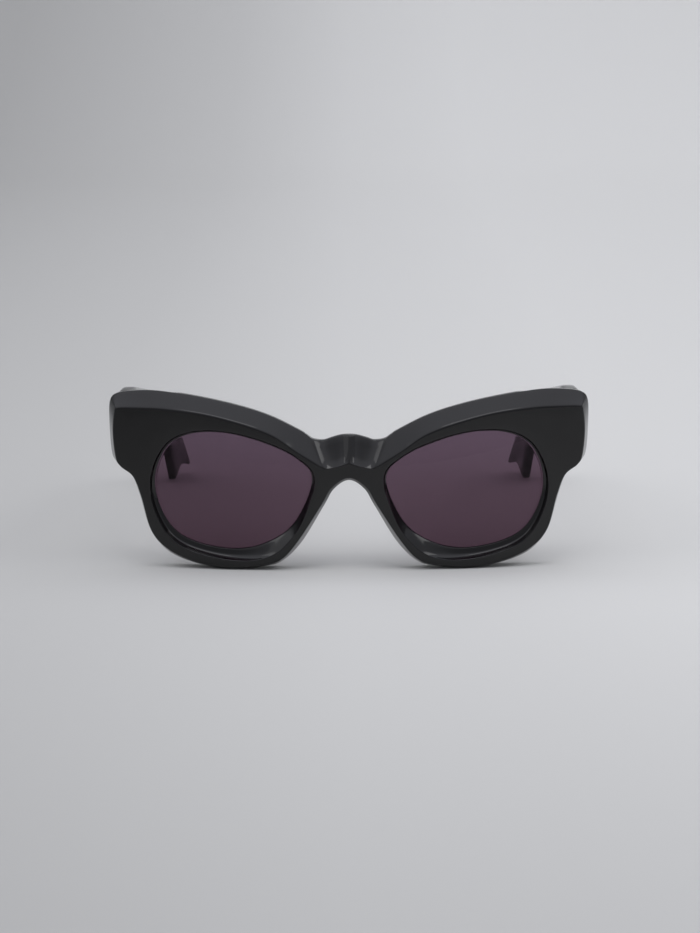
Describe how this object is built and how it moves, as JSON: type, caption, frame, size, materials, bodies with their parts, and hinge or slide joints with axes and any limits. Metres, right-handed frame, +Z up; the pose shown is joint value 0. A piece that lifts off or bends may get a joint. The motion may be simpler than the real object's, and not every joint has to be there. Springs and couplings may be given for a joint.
{
  "type": "sunglasses",
  "caption": "Cat eye sunglasses with a thick glossy black front, bevelled brow, sculpted bridge, dished rims, tinted plum lenses and folding temples.",
  "frame": {"origin": "middle of the bounding box in plan, at the level of the surface the glasses stand on", "axes": "+X to the wearer's left, across the front; +Y from the front back along the temples; +Z up"},
  "size_m": [0.1478, 0.1596, 0.0546],
  "materials": {
    "acetate": "polished",
    "lens_tint": "polished",
    "hinge_steel": "satin",
    "screw_steel": "satin",
    "core_steel": "plain"
  },
  "bodies": {
    "front": {"front_frame": "acetate", "lens_left": "lens_tint", "lens_right": "lens_tint", "nose_pad_left": "acetate", "nose_pad_right": "acetate", "front_hinge_left": "hinge_steel", "front_hinge_right": "hinge_steel", "hinge_screw_left": "screw_steel", "hinge_screw_right": "screw_steel"},
    "left_temple": {"temple_left": "acetate", "temple_hinge_left": "hinge_steel", "core_wire_left": "core_steel"},
    "right_temple": {"temple_right": "acetate", "temple_hinge_right": "hinge_steel", "core_wire_right": "core_steel"}
  },
  "joints": [
    {"name": "left_temple_fold", "type": "hinge", "parent": "front", "child": "left_temple", "pos_m": [0.06365, -0.06143, 0.04498], "axis": [0, 0, 1], "range_deg": [0, 88]},
    {"name": "right_temple_fold", "type": "hinge", "parent": "front", "child": "right_temple", "pos_m": [-0.06365, -0.06143, 0.04498], "axis": [0, 0, -1], "range_deg": [0, 80]}
  ]
}
